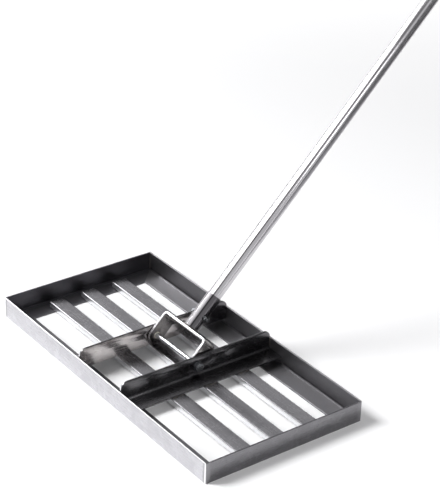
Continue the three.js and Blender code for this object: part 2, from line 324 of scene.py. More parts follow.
def dressed(name, mesh, material, rides, stands_for, sharp=30):
    """A finished mesh gets its object, material and body. Edges above sharp degrees stay crisp."""
    if not mesh.materials:
        mesh.materials.append(material)
    mesh.shade_smooth()
    mesh.set_sharp_from_angle(angle=math.radians(sharp))
    piece = placed(name, mesh)
    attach(piece, rides)
    if stands_for:
        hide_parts(*stands_for)
    return piece


# Materials


def linear(hex_code):
    """sRGB hex colour as linear RGBA."""
    values = [int(hex_code[index:index + 2], 16) / 255 for index in (1, 3, 5)]
    lights = [value / 12.92 if value <= 0.04045 else ((value + 0.055) / 1.055) ** 2.4 for value in values]
    return (*lights, 1)


def add_node(tree, kind, inputs=None, **settings):
    """Adds a node, with its settings, and its inputs set to values or linked to sockets."""
    node = tree.nodes.new(kind)
    for name, value in settings.items():
        setattr(node, name, value)
    for name, value in (inputs or {}).items():
        if isinstance(value, bpy.types.NodeSocket):
            tree.links.new(value, node.inputs[name])
        else:
            node.inputs[name].default_value = value
    return node


def result(tree, kind, inputs=None, **settings):
    """First output of a node added in the same way."""
    return add_node(tree, kind, inputs, **settings).outputs[0]


def maths(tree, operation, *values):
    """Result of a math node on numbers or sockets."""
    return result(tree, "ShaderNodeMath", dict(enumerate(values)), operation=operation)


def ranged(tree, value, start, end, low=0, high=1, curve="LINEAR"):
    """Number that runs from low to high while value runs from start to end."""
    return result(tree, "ShaderNodeMapRange", {
        "Value": value, "From Min": start, "From Max": end, "To Min": low, "To Max": high,
    }, interpolation_type=curve)


def mixed(tree, share, low, high):
    """Colour between two, each a hex code or a socket."""
    ends = [linear(end) if isinstance(end, str) else end for end in (low, high)]
    return add_node(tree, "ShaderNodeMix", {0: share, 6: ends[0], 7: ends[1]}, data_type="RGBA").outputs[2]


def between(tree, share, low, high):
    """Number between two, each a value or a socket."""
    return result(tree, "ShaderNodeMix", {0: share, 2: low, 3: high})


def noise(tree, place, scale, detail, **more):
    return result(tree, "ShaderNodeTexNoise", {"Vector": place, "Scale": scale, "Detail": detail, **more})


def mapped(tree, place, scale, turn=(0, 0, 0)):
    """A place, stretched and turned by angles in radians."""
    return result(tree, "ShaderNodeMapping", {"Vector": place, "Scale": scale, "Rotation": turn})


def new_material(name):
    """Empty material, its tree, and the places on the piece as a socket."""
    material = bpy.data.materials.new(name)
    material.use_nodes = True
    tree = material.node_tree
    tree.nodes.clear()
    return material, tree, add_node(tree, "ShaderNodeTexCoord").outputs["Object"]


def surfaced(tree, colour, roughness, relief, **more):
    """Closes a material. Its relief is given as (height, strength, distance in metres)."""
    height, strength, distance = relief
    bump = result(tree, "ShaderNodeBump", {"Height": height, "Strength": strength, "Distance": distance})
    surface = result(tree, "ShaderNodeBsdfPrincipled", {
        "Base Color": colour, "Roughness": roughness, "Normal": bump, **more,
    })
    add_node(tree, "ShaderNodeOutputMaterial", {"Surface": surface})


# Heights above the ground, in metres, between which a rail's finish changes
FOOT_TOP = (0.004, 0.0046)
ROOT_START = (0.0041, 0.0046)
ROOT_END = (0.008, 0.011)
TOP_EDGE = (0.0482, 0.0492)

# Distances from the frame's outer faces, in metres and negative inwards
OUTER_SKIN = (-0.0022, -0.0008)
BRIGHT_END = (-0.0055, -0.0035)

OUTSIDE_ROUGHNESS = (0.2, 0.32)
FOOT_TOP_STEEL = "#a3a2a5"
ROOT_SHADE = "#29282b"
GROUND_STEEL = "#8f8e91"
HIGHLIGHT_STEEL = "#fbfafc"
WEB_END_SHADE = "#6a686b"


def rail_finish(tree, place, spot, share, clouds, inside, outside):
    """Colour, roughness and relief of a rail: those of its inside, with its outer faces, edges and mitre
    patches mixed in.
    """
    colour, rough, depth = inside
    # The top of the foot is lighter, and the root fillet above it is darkened: painted shade in the crease
    colour = mixed(tree, ranged(tree, spot["Z"], *FOOT_TOP, 0.3, 0), colour, FOOT_TOP_STEEL)
    above_foot = ranged(tree, spot["Z"], *ROOT_START)
    below_wall = ranged(tree, spot["Z"], *ROOT_END, 0.6, 0)
    colour = mixed(tree, maths(tree, "MULTIPLY", above_foot, below_wall), colour, ROOT_SHADE)
    in_x = maths(tree, "ABSOLUTE", spot["X"])
    in_y = maths(tree, "ABSOLUTE", maths(tree, "SUBTRACT", spot["Y"], FRAME_MIDDLE / 1000))
    past_x = maths(tree, "SUBTRACT", in_x, FRAME_LENGTH / 2000)
    past_y = maths(tree, "SUBTRACT", in_y, FRAME_WIDTH / 2000)
    # Outer faces take the outside colours: painted light on the front rail, for the bright floor it
    # reflects, and painted shade on the others
    outer_face = ranged(tree, maths(tree, "MAXIMUM", past_x, past_y), *OUTER_SKIN)
    colour = mixed(tree, outer_face, colour, mixed(tree, share, *outside["colours"]))
    rough = between(tree, outer_face, rough, ranged(tree, share, 0, 1, *OUTSIDE_ROUGHNESS))
    # Distance from the mitre: how far in from the end less how far in from the long side
    gap = maths(tree, "SUBTRACT", maths(tree, "SUBTRACT", in_x, in_y), (FRAME_LENGTH - FRAME_WIDTH) / 2000)
    ragged = maths(tree, "MULTIPLY_ADD", clouds, 0.016, maths(tree, "ABSOLUTE", gap))
    near_mitre = ranged(tree, ragged, 0.014, 0.022, 1, 0, "SMOOTHSTEP")
    ground = maths(tree, "MULTIPLY", near_mitre, outer_face)
    # Grinder marks about 1 mm apart, slanting across the joint
    marks = noise(tree, mapped(tree, place, (900, 60, 900), (0.5, 0.5, 0.8)), scale=1, detail=2)
    colour = mixed(tree, maths(tree, "MULTIPLY", ground, 0.6), colour, GROUND_STEEL)
    rough = between(tree, ground, rough, ranged(tree, marks, 0.3, 0.7, 0.26, 0.42))
    depth = between(tree, ground, depth, marks)
    if outside["highlight_edges"]:
        # Painted highlight: the top edge and the corners are painted bright, 2 to 5 mm wide, for the light
        # their small rounds catch
        edge = maths(tree, "MAXIMUM", ranged(tree, spot["Z"], *TOP_EDGE), ranged(tree, past_x, *BRIGHT_END))
        painted_highlight = maths(tree, "MULTIPLY", edge, outer_face)
        colour = mixed(tree, painted_highlight, colour, HIGHLIGHT_STEEL)
        rough = between(tree, painted_highlight, rough, 0.35)
    return colour, rough, depth


def rolled_stainless(name, grain, colours, roughness, outside=None, shaded_past=None):
    """Rolled 304 stainless, brushed along its length.

    The eye sees soft, slightly dark mirror images drawn out along the grain, and faint clouding from
    handling. The rails' outer faces have their own colours and roughness, and at the corners a patch
    that was ground across the grain; their insides are rougher. The rails' colours are painted light
    and shade: the same steel gets a lighter copy on the front rail's outside and darker copies
    elsewhere, each set to the reflection it shows. grain is the length in millimetres of a scratch
    along X, Y and Z. Behind shaded_past, a Y in metres, the steel is painted darker: painted shade.
    """
    material, tree, place = new_material(name)
    # Real scratches are 0.05 mm wide; they are drawn about ten times as wide so as to show
    scale = [1000 / length for length in grain]
    scratches = noise(tree, mapped(tree, place, scale), scale=1, detail=3, Roughness=0.6)
    # Clouding in patches of about 35 mm, streaked by wiping
    clouds = noise(tree, place, scale=28, detail=4, Roughness=0.6, Distortion=0.6)
    speck = noise(tree, place, scale=420, detail=2)
    share = ranged(tree, maths(tree, "ADD", clouds, scratches), 0.75, 1.25)
    rough = ranged(tree, share, 0, 1, *roughness)
    colour = mixed(tree, share, *colours)
    depth = maths(tree, "MULTIPLY_ADD", speck, 0.35, scratches)
    spot = add_node(tree, "ShaderNodeSeparateXYZ", {"Vector": place}).outputs
    if outside:
        inside = (colour, rough, depth)
        colour, rough, depth = rail_finish(tree, place, spot, share, clouds, inside, outside)
    # Painted shade: darker behind shaded_past
    if shaded_past:
        end_shade = ranged(tree, spot["Y"], shaded_past, shaded_past + 0.02)
        colour = mixed(tree, end_shade, colour, WEB_END_SHADE)
    surfaced(tree, colour, rough, (depth, 0.5, 0.000006), Metallic=1)
    return material


def polished_tube(name, colours, shaded_right=False):
    """Stainless tube, mirror polished on a belt.

    The eye sees crisp bands of light and dark along the tube, with hairlines round it and a few
    duller patches where hands have held it. With shaded_right the tube is painted darker on its
    right-hand side: painted shade.
    """
    material, tree, place = new_material(name)
    # Belt lines run round the tube, 0.4 mm apart; real ones are finer
    upright = mapped(tree, place, (70, 70, 2500), (math.radians(HANDLE_TILT), 0, 0))
    lines = noise(tree, upright, scale=1, detail=2)
    patches = noise(tree, place, scale=14, detail=4, Roughness=0.55)
    colour = mixed(tree, patches, *colours)
    if shaded_right:
        spot = add_node(tree, "ShaderNodeSeparateXYZ", {"Vector": place}).outputs
        # Painted shade: darker towards the right-hand side
        colour = mixed(tree, ranged(tree, spot["X"], 0.001, 0.006), colour, "#6b696c")
    rough = ranged(tree, patches, 0.35, 0.7, 0.1, 0.2)
    surfaced(tree, colour, rough, (lines, 0.25, 0.000003), Metallic=1)
    return material


def zinc_plate(name, colours):
    """Bright zinc plating on steel bolts and nuts.

    The eye sees a slightly milky silver, with a spangle of a millimetre or two and small dull spots.
    """
    material, tree, place = new_material(name)
    spangle = add_node(tree, "ShaderNodeTexVoronoi", {"Vector": place, "Scale": 650}).outputs["Distance"]
    dull = noise(tree, place, scale=180, detail=3)
    rough = ranged(tree, dull, 0.35, 0.65, 0.24, 0.4)
    surfaced(tree, mixed(tree, spangle, *colours), rough, (dull, 0.3, 0.00002), Metallic=1)
    return material


def weld_metal(name):
    """Stainless weld bead, brushed after welding.

    The eye sees ripples with a straw and slate heat tint in patches of a few millimetres.
    """
    material, tree, place = new_material(name)
    tint = noise(tree, place, scale=130, detail=3, Distortion=0.8)
    colour = mixed(tree, ranged(tree, tint, 0.35, 0.65), "#6e6c6d", "#857f78")
    brush_marks = noise(tree, place, scale=900, detail=2)
    surfaced(tree, colour, 0.34, (brush_marks, 0.5, 0.00008), Metallic=1)
    return material


def moulded(name, colours, roughness, grain, depth, ior=1.5):
    """Moulded plastic, rubber or foam: one colour with slight unevenness and a pebbled skin.

    grain is the width of one pebble and depth its height, both in millimetres.
    """
    material, tree, place = new_material(name)
    drift = noise(tree, place, scale=40, detail=3)
    pebbles = add_node(tree, "ShaderNodeTexVoronoi", {
        "Vector": place, "Scale": 1000 / grain,
    }, feature="SMOOTH_F1").outputs["Distance"]
    rough = ranged(tree, drift, 0.3, 0.7, *roughness)
    surfaced(tree, mixed(tree, drift, *colours), rough, (pebbles, 0.6, depth / 1000), IOR=ior)
    return material


RAIL_GRAIN = (70, 0.6, 0.6)
CROSS_GRAIN = (0.6, 70, 0.6)
BAR_GRAIN = (60, 0.5, 0.5)
YOKE_GRAIN = (30, 0.6, 0.6)

# Each rail is one steel in lighter or darker copies: painted light on the front rail's outside, painted
# shade on the other outsides and on the insides, one tone per rail
front_outside_lit = {"colours": ("#c0bfc3", "#d3d2d6"), "highlight_edges": True}
other_outside_shaded = {"colours": ("#757477", "#868588"), "highlight_edges": False}
front_rail_steel = rolled_stainless(
    "rolled_stainless_front_rail", RAIL_GRAIN, ("#434245", "#4d4c4f"), (0.4, 0.5), front_outside_lit,
)
rear_rail_steel = rolled_stainless(
    "rolled_stainless_rear_rail", RAIL_GRAIN, ("#777679", "#858487"), (0.4, 0.5), other_outside_shaded,
)
end_rail_steel = rolled_stainless(
    "rolled_stainless_end_rails", CROSS_GRAIN, ("#56555a", "#626166"), (0.4, 0.5), other_outside_shaded,
)
bar_steel = rolled_stainless("rolled_stainless_bars", BAR_GRAIN, ("#8a898c", "#98979a"), (0.2, 0.3))
# The bars' upright sides are a near-white copy of the bar steel: painted light for the pale floor they
# reflect
bar_side_steel = rolled_stainless(
    "lit_stainless_bar_sides", BAR_GRAIN, ("#eeeef1", "#f8f8fa"), (0.25, 0.35),
)
member_steel = rolled_stainless(
    "rolled_stainless_members", CROSS_GRAIN, ("#626163", "#6f6e70"), (0.22, 0.3),
)
# The webs' faces towards the yoke are a lighter copy: painted reflection of the pale floor between the
# members
web_steel = rolled_stainless(
    "lit_stainless_member_webs", CROSS_GRAIN, ("#b8b3b2", "#ccc8c7"), (0.2, 0.3), shaded_past=0.32,
)
yoke_steel = rolled_stainless("rolled_stainless_yoke", YOKE_GRAIN, ("#8a8786", "#a09d9c"), (0.18, 0.28))
# The yoke's inner side is a darker copy of its steel: painted shade
yoke_inside_steel = rolled_stainless(
    "shaded_stainless_yoke_inside", YOKE_GRAIN, ("#757271", "#888584"), (0.2, 0.3),
)
# The members' rear corners and ends are painted dark: painted shade for the dark reflection there
corner_shade_steel = rolled_stainless(
    "shaded_stainless_corners", (0.6, 30, 0.6), ("#2a292b", "#343335"), (0.4, 0.5),
)
# Near-white copy for the yoke's cut edges and the members' front ends: painted highlight
edge_steel = rolled_stainless("highlight_stainless_edge", YOKE_GRAIN, ("#dddcdf", "#ecebee"), (0.22, 0.32))
socket_steel = polished_tube("polished_stainless_socket", ("#b3b1b4", "#c4c2c5"), shaded_right=True)
tube_steel = polished_tube("polished_stainless_tube", ("#c3c1c4", "#d2d0d3"))
zinc = zinc_plate("bright_zinc_plate", ("#8b8d91", "#75777a"))
# Near-white zinc for the bolts' visible shanks: painted highlight
highlight_zinc = zinc_plate("highlight_zinc_plate_shank", ("#eceef1", "#dfe1e4"))
# Darker zinc on the socket's nut and right washer: painted shade
shaded_zinc = zinc_plate("shaded_zinc_plate", ("#56585b", "#464749"))
bead_steel = weld_metal("stainless_weld_bead")
nylon_skin = {"grain": 0.8, "depth": 0.02, "ior": 1.53}
nylon = moulded("moulded_nylon", ("#cfcabd", "#dedacf"), (0.42, 0.55), **nylon_skin)
lock_ring_nylon = moulded("moulded_grey_nylon", ("#5d5e61", "#6a6b6e"), (0.4, 0.5), **nylon_skin)
# Closed-cell foam has cells of about 0.3 mm; they are drawn at 0.9 mm so as to show
foam = moulded("closed_cell_foam", ("#19191a", "#2a2a2c"), (0.78, 0.95), grain=0.9, depth=0.3)
rubber = moulded("moulded_rubber", ("#141415", "#1d1d1e"), (0.5, 0.62), grain=0.9, depth=0.02, ior=1.52)


# Frame: four mitred rails


def build_rail(node, half_length, outward, turn, material):
    """Rail along X with its outer face at y = -outward, then turned about the frame's middle."""
    section = angle_section()
    corner = RAIL_CORNER_RADIUS
    rings = []
    for side in (-1, 1):
        stations = []
        for step in range(5):
            slope = math.radians(45 * step / 4)
            ring = []
            for inward, height in section:
                spare = max(corner - inward, 0)
                inset = max(corner, inward)
                along = half_length - inset + spare * math.sin(slope)
                ring.append((side * along, inset - spare * math.cos(slope) - outward, height))
            stations.append(ring)
        if side < 0:
            stations.reverse()
        rings.extend(stations)
    place = turned_about_middle(turn)
    finished(node + "_angle", loft(rings), material, "head", [node], place)


build_rail("front_rail", FRAME_LENGTH / 2, FRAME_WIDTH / 2, 0, front_rail_steel)
build_rail("rear_rail", FRAME_LENGTH / 2, FRAME_WIDTH / 2, 180, rear_rail_steel)
build_rail("left_end_rail", FRAME_WIDTH / 2, FRAME_LENGTH / 2, -90, end_rail_steel)
build_rail("right_end_rail", FRAME_WIDTH / 2, FRAME_LENGTH / 2, 90, end_rail_steel)


# Geometry Nodes trees


def new_tree(name, sizes):
    """Tree with a geometry in and out, named number inputs and a material input."""
    tree = bpy.data.node_groups.new(name, "GeometryNodeTree")
    kinds = {"Geometry": "Geometry", **dict.fromkeys(sizes, "Float"), "Material": "Material"}
    for socket, kind in kinds.items():
        tree.interface.new_socket(socket, in_out="INPUT", socket_type="NodeSocket" + kind)
    tree.interface.new_socket("Geometry", in_out="OUTPUT", socket_type="NodeSocketGeometry")
    return tree, add_node(tree, "NodeGroupInput").outputs


def made_by(tree, values, carrier):
    """Runs a tree on a carrier object and returns the result as a plain mesh."""
    step = carrier.modifiers.new("shape", "NODES")
    step.node_group = tree
    for item in tree.interface.items_tree:
        if item.in_out == "INPUT" and item.name in values:
            step[item.identifier] = values[item.name]
    carrier.update_tag()
    graph = bpy.context.evaluated_depsgraph_get()
    mesh = bpy.data.meshes.new_from_object(carrier.evaluated_get(graph), depsgraph=graph)
    bpy.data.objects.remove(carrier)
    return mesh


def both_of(tree, first, second):
    """Two geometries as one."""
    join = add_node(tree, "GeometryNodeJoinGeometry", {0: first})
    tree.links.new(second, join.inputs[0])
    return join.outputs[0]


def close_tree(tree, geometry, material):
    """Gives the geometry its material and sends it out."""
    coloured = result(tree, "GeometryNodeSetMaterial", {"Geometry": geometry, "Material": material})
    add_node(tree, "NodeGroupOutput", {"Geometry": coloured})


def bar_tree():
    """Rectangular tube along X: two rounded rectangles, filled between and drawn out."""
    tree, size = new_tree("rectangular_tube", ("Length", "Width", "Height", "Wall", "Corner", "Y", "Z"))
    twice = maths(tree, "MULTIPLY", size["Wall"], -2.0)
    bore_width = maths(tree, "ADD", size["Width"], twice)
    bore_height = maths(tree, "ADD", size["Height"], twice)
    bore_corner = maths(tree, "SUBTRACT", size["Corner"], size["Wall"])
    outlines = []
    for width, height, corner in (
        (size["Width"], size["Height"], size["Corner"]),
        (bore_width, bore_height, bore_corner),
    ):
        rectangle = result(tree, "GeometryNodeCurvePrimitiveQuadrilateral", {
            "Width": width, "Height": height,
        })
        fillet = result(tree, "GeometryNodeFilletCurve", {
            "Curve": rectangle, "Radius": corner, "Count": 6,
        }, mode="POLY")
        outlines.append(fillet)
    end = result(tree, "GeometryNodeFillCurve", {"Curve": both_of(tree, *outlines)}, mode="TRIANGLES")
    drawn = result(tree, "GeometryNodeExtrudeMesh", {
        "Mesh": end, "Offset Scale": size["Length"], "Individual": False,
    })
    back = result(tree, "GeometryNodeFlipFaces", {"Mesh": end})
    closed = result(tree, "GeometryNodeMergeByDistance", {
        "Geometry": both_of(tree, drawn, back), "Distance": 0.00001,
    })
    shift = result(tree, "ShaderNodeCombineXYZ", {
        "X": maths(tree, "MULTIPLY", size["Length"], -0.5), "Y": size["Y"], "Z": size["Z"],
    })
    laid = result(tree, "GeometryNodeTransform", {
        "Geometry": closed, "Translation": shift, "Rotation": (math.pi / 2, 0, math.pi / 2),
    })
    close_tree(tree, laid, size["Material"])
    return tree


def bead_tree():
    """Weld bead along a path: overlapping ripples, each a little different in size."""
    tree, size = new_tree("weld_bead", ("Ripple Spacing", "Bead Radius"))
    path = result(tree, "GeometryNodeMeshToCurve", {"Mesh": size["Geometry"]})
    steps = result(tree, "GeometryNodeResampleCurve", {
        "Curve": path, "Length": size["Ripple Spacing"],
    }, mode="LENGTH")
    tangent = result(tree, "GeometryNodeInputTangent")
    turn = result(tree, "FunctionNodeAlignRotationToVector", {"Vector": tangent}, axis="X")
    ripple = result(tree, "GeometryNodeMeshUVSphere", {"Segments": 12, "Rings": 8, "Radius": 1.0})
    uneven = add_node(tree, "FunctionNodeRandomValue", {2: 0.9, 3: 1.1, "Seed": 11}, data_type="FLOAT")
    width = maths(tree, "MULTIPLY", size["Bead Radius"], uneven.outputs[1])
    depth = maths(tree, "MULTIPLY", size["Ripple Spacing"], 1.15)
    scale = result(tree, "ShaderNodeCombineXYZ", {"X": depth, "Y": width, "Z": width})
    row = result(tree, "GeometryNodeInstanceOnPoints", {
        "Points": steps, "Instance": ripple, "Rotation": turn, "Scale": scale,
    })
    real = result(tree, "GeometryNodeRealizeInstances", {"Geometry": row})
    close_tree(tree, real, size["Material"])
    return tree


rectangular_tube = bar_tree()
weld_bead = bead_tree()


# Leveling bars


def bar_middle(index):
    """Y of a bar's middle line. All three lie a little to the rear of the frame's middle."""
    return FRAME_MIDDLE + BAR_OFFSET + (index - 1) * BAR_PITCH


for index, name in enumerate(BAR_NAMES):
    sizes = {
        "Length": BAR_LENGTH / 1000,
        "Width": BAR_WIDTH / 1000,
        "Height": BAR_HEIGHT / 1000,
        "Wall": BAR_WALL / 1000,
        "Corner": BAR_CORNER_RADIUS / 1000,
        "Y": bar_middle(index) / 1000,
        "Z": (BAR_BOTTOM + GAP + BAR_HEIGHT / 2) / 1000,
        "Material": bar_steel,
    }
    carrier = placed("bar", bpy.data.meshes.new("bar"))
    bar = made_by(rectangular_tube, sizes, carrier)
    bar.materials.clear()
    bar.materials.append(bar_steel)
    bar.materials.append(bar_side_steel)
    # Upright sides take the near-white copy: painted light
    for face in bar.polygons:
        face.material_index = int(abs(face.normal.y) > 0.8)
    dressed(f"leveling_bar_{name}_tube", bar, bar_steel, "head", [f"leveling_bar_{name}"])


# Cross members


def build_member(node, turn):
    """Right-hand member, web on x = half the span and foot outwards, turned for the left one."""
    start = MEMBER_SPAN / 2
    section = [(start + x, MEMBER_BOTTOM + z) for x, z in angle_section()]
    half = MEMBER_LENGTH / 2
    top = MEMBER_BOTTOM + ANGLE["height"]
    corner = MEMBER_CORNER_RADIUS
    side_view = rounded([
        (-half, -OVERCUT, 0), (half, -OVERCUT, 0), (half, top, corner), (-half, top, corner),
    ], steps=14)
    angle = prism(section, "Y", -half - OVERCUT, half + OVERCUT)
    past_foot = 200
    body = combined(angle, prism(side_view, "X", 0, past_foot), "INTERSECT")
    drill = (start - 20, start + 20)
    body = eased(drilled(body, MEMBER_HOLE_RADIUS, *drill, PIVOT_HEIGHT))
    place = turned_about_middle(turn)
    body.normal_update()
    # Slot 1 is the front end, painted bright as a painted highlight; 2 the web's face towards the yoke, a
    # lighter copy as a painted reflection; 3 the rear corner and end, painted dark as painted shade
    for face in body.faces:
        rearward = (place.to_3x3() @ face.normal).y
        if rearward < -0.5:
            face.material_index = 1
        elif face.normal.x < -0.9:
            face.material_index = 2
        elif rearward > 0.2 and face.normal.z > 0.05:
            face.material_index = 3
    member = finished(node + "_angle", body, member_steel, "head", [node], place)
    for steel in (edge_steel, web_steel, corner_shade_steel):
        member.data.materials.append(steel)


build_member("cross_member_right", 0)
build_member("cross_member_left", 180)


# Yoke, bushes and socket


def build_yoke():
    outer = YOKE_HALF_SPAN
    inner = outer - YOKE_THICKNESS
    bend = YOKE_INNER_BEND
    top = YOKE_REACH
    under = top - YOKE_THICKNESS
    half = YOKE_WIDTH / 2
    low = -half - OVERCUT
    strip = rounded([
        (inner, low, 0), (outer, low, 0), (outer, top, bend + YOKE_THICKNESS),
        (-outer, top, bend + YOKE_THICKNESS), (-outer, low, 0), (-inner, low, 0),
        (-inner, under, bend), (inner, under, bend),
    ], steps=12)
    full_round = half - 0.001
    side_view = rounded([
        (-half, top + OVERCUT, 0), (-half, -half, full_round),
        (half, -half, full_round), (half, top + OVERCUT, 0),
    ], steps=24)
    bent = prism(strip, "Y", low, -low)
    body = combined(bent, prism(side_view, "X", -outer - OVERCUT, outer + OVERCUT), "INTERSECT")
    past_arms = 100
    body = eased(drilled(body, YOKE_HOLE_RADIUS, -past_arms, past_arms, sides=64), segments=3)
    body.normal_update()
    # Slot 1 is the strip's cut edges, painted bright as a painted highlight; 2 its inner side, painted
    # darker as painted shade
    for face in body.faces:
        centre = face.calc_center_median()
        inner_arm = centre.x * face.normal.x < 0 and abs(face.normal.x) > 0.3
        under_bridge = face.normal.z < -0.3 and centre.z > half
        if abs(face.normal.y) > 0.5:
            face.material_index = 1
        elif inner_arm or under_bridge:
            face.material_index = 2
    yoke = finished("yoke_strip", body, yoke_steel, "handle", ["yoke"], HANDLE_PLACE)
    yoke.data.materials.append(edge_steel)
    yoke.data.materials.append(yoke_inside_steel)


def across(side, x):
    """Turns a fastener along Z to lie along X at side times x, its outer end towards the side."""
    return Matrix.Translation((side * x, 0, 0)) @ Matrix.Rotation(side * math.pi / 2, 4, "Y")


def build_bush(name, side):
    chamfer = 0.3
    low = -YOKE_THICKNESS - GAP
    high = BUSH_FLANGE_THICKNESS
    flange = BUSH_FLANGE_RADIUS
    profile = [
        (BUSH_BORE_RADIUS, low), (BUSH_RADIUS, low), (BUSH_RADIUS, 0), (flange - chamfer, 0),
        (flange, chamfer), (flange, high - chamfer), (flange - chamfer, high), (BUSH_BORE_RADIUS, high),
    ]
    place = HANDLE_PLACE @ across(side, YOKE_HALF_SPAN + GAP)
    node = f"pivot_bush_{name}"
    finished(f"flanged_bush_{name}", turned(profile), nylon, "handle", [node], place)


def build_socket():
    low = SOCKET_START - GAP
    high = SOCKET_START + SOCKET_LENGTH
    body = turned(eased_ring(SOCKET_RADIUS, SOCKET_BORE_RADIUS, low, high, ease=0.3))
    past_walls = 30
    body = drilled(body, SOCKET_HOLE_RADIUS, -past_walls, past_walls, SOCKET_BOLT_REACH)
    finished("handle_socket_tube", body, socket_steel, "handle", ["handle_socket"], HANDLE_PLACE)


build_yoke()
build_bush("left", -1)
build_bush("right", 1)
build_socket()


# Bolts, nuts and washers lie along Z with their bearing face on z = 0


def hexagon(flats, height, both_ends=False, bore=0):
    """Hexagon whose corners are turned off at 30 degrees, with an optional bore."""
    body = bmesh.new()
    count = 72
    apothem = flats / 2
    face_radius = 0.94 * apothem
    fall = math.tan(math.radians(30))

    def ring(top, radius=None, turned_off=False):
        """Vertices at the top or the bottom, on a circle or, without a radius, on the hexagon."""
        points = []
        for index in range(count):
            turn = 2 * math.pi * index / count
            corner = apothem / math.cos((turn % (math.pi / 3)) - math.pi / 6)
            reach = radius or corner
            drop = (corner - face_radius) * fall if turned_off else 0
            z = height - drop if top else drop
            points.append(body.verts.new((reach * math.cos(turn), reach * math.sin(turn), z)))
        return points

    loops = [
        ring(False, face_radius),
        ring(False, turned_off=both_ends),
        ring(True, turned_off=True),
        ring(True, face_radius),
    ]
    if bore:
        loops = [ring(False, bore)] + loops + [ring(True, bore)]
    pairs = list(zip(loops, loops[1:]))
    if bore:
        pairs.append((loops[-1], loops[0]))
    for low, high in pairs:
        bridge(body, low, high)
    if not bore:
        body.faces.new(reversed(loops[0]))
        body.faces.new(loops[-1])
    return body


def threaded_end(screw, low, high):
    """Helical thread from low to high along Z, run out to a point at the low end."""
    rows_per_turn = 6
    radius = screw["radius"]
    pitch = screw["pitch"]
    rows = int((high - low) / pitch * rows_per_turn)
    rings = []
    for row in range(rows + 1):
        z = low + (high - low) * row / rows
        ring = []
        for side in range(THREAD_SIDES):
            share = side / THREAD_SIDES
            wave = abs(((z / pitch - share) % 1) * 2 - 1)
            reach = radius - 0.6 * pitch * wave * 0.9
            reach = min(reach, radius - 0.7 * pitch + (z - low))
            turn = 2 * math.pi * share
            ring.append((reach * math.cos(turn), reach * math.sin(turn), z))
        rings.append(ring)
    return loft(rings)


def build_bolt(node, screw, side, bearing, rides, place):
    """Bolt whose shank is painted bright where it shows, as a painted highlight, and whose head keeps the
    plain zinc.

    Its head and its nut bear at the same distance from the middle. The thread starts 2 mm before
    the nut.
    """
    grip = 2 * bearing
    nut_height = screw["nut"] + screw["collar"]
    tip = -(grip + nut_height + screw["point"])
    thread_start = 2 - grip
    radius = screw["radius"] - 0.1
    head = hexagon(screw["flats"], screw["head"])
    shank = turned([(0, thread_start), (radius, thread_start), (radius, 0.5), (0, 0.5)], FASTENER_SIDES)
    body = joined(head, shank, threaded_end(screw, tip, thread_start))
    # Slot 1, the visible shank, takes the painted highlight
    for face in body.faces:
        face.material_index = int(thread_start < face.calc_center_median().z < -1)
    bolt = finished(node + "_hex", body, zinc, rides, [node], place @ across(side, bearing))
    bolt.data.materials.append(highlight_zinc)


def nut_solid(screw):
    body = hexagon(screw["flats"], screw["nut"], True, screw["radius"] + 0.05)
    low = screw["nut"] - 0.2
    high = screw["nut"] + screw["collar"]
    outer = screw["collar_radius"]
    inner = outer - 1.2
    collar = turned([
        (inner, low), (outer, low), (outer, high - 0.8),
        (outer - 0.25, high - 0.25), (outer - 0.8, high), (inner, high),
    ], FASTENER_SIDES)
    return joined(body, collar)


def lock_ring_solid(screw):
    low = screw["nut"] - 0.1
    high = screw["nut"] + screw["collar"] - 0.4
    outer = screw["collar_radius"] - 1.15
    inner = screw["radius"] + 0.02
    return turned([
        (inner, low), (outer, low), (outer, high),
        (screw["radius"] + 0.6, high), (inner, high - 0.5),
    ], FASTENER_SIDES)


def build_nut(node, screw, side, bearing, rides, place, plate=zinc):
    spot = place @ across(side, bearing)
    finished(node + "_hex", nut_solid(screw), plate, rides, [node], spot)
    finished(node + "_ring", lock_ring_solid(screw), lock_ring_nylon, rides, (), spot)


def build_washer(node, washer, side, rides, place, plate=zinc):
    ring = eased_ring(washer["radius"], washer["bore"], 0, washer["thickness"], ease=0.25)
    body = turned(ring, sides=72)
    finished(node + "_plain", body, plate, rides, [node], place @ across(side, washer["face"]))


pivot_place = Matrix.Translation((0, FRAME_MIDDLE, PIVOT_HEIGHT))
build_bolt("pivot_bolt", M12, 1, PIVOT_BEARING, "head", pivot_place)
build_nut("pivot_lock_nut", M12, -1, PIVOT_BEARING, "head", pivot_place)
build_washer("pivot_washer_right", PIVOT_WASHER, 1, "head", pivot_place)
build_washer("pivot_washer_left", PIVOT_WASHER, -1, "head", pivot_place)

socket_place = HANDLE_PLACE @ Matrix.Translation((0, 0, SOCKET_BOLT_REACH))
build_bolt("socket_bolt", M8, -1, SOCKET_BEARING, "handle", socket_place)
build_nut("socket_nut", M8, 1, SOCKET_BEARING, "handle", socket_place, shaded_zinc)
build_washer("socket_washer_left", SOCKET_WASHER, -1, "handle", socket_place)
build_washer("socket_washer_right", SOCKET_WASHER, 1, "handle", socket_place, shaded_zinc)

for name, offset in (("lower", -SPIGOT_BOLT_OFFSET), ("upper", SPIGOT_BOLT_OFFSET)):
    spot = HANDLE_PLACE @ Matrix.Translation((0, 0, TUBE_JOINT + offset))
    build_bolt(f"spigot_{name}_bolt", M6, -1, SPIGOT_BEARING, "handle", spot)
    build_nut(f"spigot_{name}_nut", M6, 1, SPIGOT_BEARING, "handle", spot)


# Handle tubes, grip and cap


def build_tube(node, low, high):
    body = turned(eased_ring(TUBE_RADIUS, TUBE_BORE_RADIUS, low, high, ease=0.25))
    finished(node + "_round", body, tube_steel, "handle", [node], HANDLE_PLACE)


